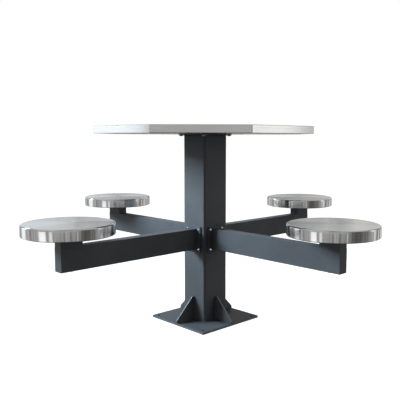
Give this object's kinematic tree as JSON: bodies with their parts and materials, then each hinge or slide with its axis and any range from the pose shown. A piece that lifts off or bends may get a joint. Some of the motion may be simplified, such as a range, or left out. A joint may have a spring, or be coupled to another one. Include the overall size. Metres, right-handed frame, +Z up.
{
  "type": "table with attached swivel seats",
  "caption": "Octagonal stainless steel dining table on a bolt-down square column, with box-section arms that carry round seats which swivel freely.",
  "frame": {"origin": "on the floor, at the centre of the base plate's underside, on the column's axis", "axes": "+Z up along the column, +X and +Y along two neighbouring arms (east and north)"},
  "size_m": [1.502, 1.502, 0.76],
  "materials": {
    "powder_coat": "satin powder coat",
    "stainless": "brushed",
    "galvanised_sheet": "dull zinc",
    "plywood": "sanded",
    "bright_steel": "bright zinc",
    "bush_plastic": "matte",
    "plug_plastic": "matte"
  },
  "bodies": {
    "frame": {"access_plugs": "plug_plastic", "arm_bolts": "bright_steel", "arm_end_caps": "powder_coat", "arm_flange_east": "powder_coat", "arm_flange_north": "powder_coat", "arm_flange_south": "powder_coat", "arm_flange_west": "powder_coat", "arm_tube_east": "powder_coat", "arm_tube_north": "powder_coat", "arm_tube_south": "powder_coat", "arm_tube_west": "powder_coat", "base_plate": "powder_coat", "column": "powder_coat", "gusset_east": "powder_coat", "gusset_north": "powder_coat", "gusset_south": "powder_coat", "gusset_west": "powder_coat", "head_plate": "powder_coat", "lower_bushes": "bush_plastic", "pivot_sleeve_east": "bright_steel", "pivot_sleeve_north": "bright_steel", "pivot_sleeve_south": "bright_steel", "pivot_sleeve_west": "bright_steel", "seat_riser_east": "powder_coat", "seat_riser_north": "powder_coat", "seat_riser_south": "powder_coat", "seat_riser_west": "powder_coat", "tabletop_backing": "galvanised_sheet", "tabletop_bolts": "bright_steel", "tabletop_core": "plywood", "tabletop_inserts": "bright_steel", "tabletop_skin": "stainless", "tabletop_washers": "bright_steel", "upper_bushes": "bush_plastic", "weld_nuts": "bright_steel"},
    "east_seat": {"seat_pan_east": "stainless", "seat_core_east": "plywood", "seat_base_east": "galvanised_sheet", "spindle_east": "bright_steel", "spindle_ring_east": "bright_steel", "spindle_screws_east": "bright_steel"},
    "north_seat": {"seat_pan_north": "stainless", "seat_core_north": "plywood", "seat_base_north": "galvanised_sheet", "spindle_north": "bright_steel", "spindle_ring_north": "bright_steel", "spindle_screws_north": "bright_steel"},
    "west_seat": {"seat_pan_west": "stainless", "seat_core_west": "plywood", "seat_base_west": "galvanised_sheet", "spindle_west": "bright_steel", "spindle_ring_west": "bright_steel", "spindle_screws_west": "bright_steel"},
    "south_seat": {"seat_pan_south": "stainless", "seat_core_south": "plywood", "seat_base_south": "galvanised_sheet", "spindle_south": "bright_steel", "spindle_ring_south": "bright_steel", "spindle_screws_south": "bright_steel"}
  },
  "joints": [
    {"name": "east_seat_swivel", "type": "hinge", "parent": "frame", "child": "east_seat", "pos_m": [0.601, 0, 0.4], "axis": [0, 0, 1], "continuous": true},
    {"name": "north_seat_swivel", "type": "hinge", "parent": "frame", "child": "north_seat", "pos_m": [0, 0.601, 0.4], "axis": [0, 0, 1], "continuous": true},
    {"name": "west_seat_swivel", "type": "hinge", "parent": "frame", "child": "west_seat", "pos_m": [-0.601, 0, 0.4], "axis": [0, 0, 1], "continuous": true},
    {"name": "south_seat_swivel", "type": "hinge", "parent": "frame", "child": "south_seat", "pos_m": [0, -0.601, 0.4], "axis": [0, 0, 1], "continuous": true}
  ]
}
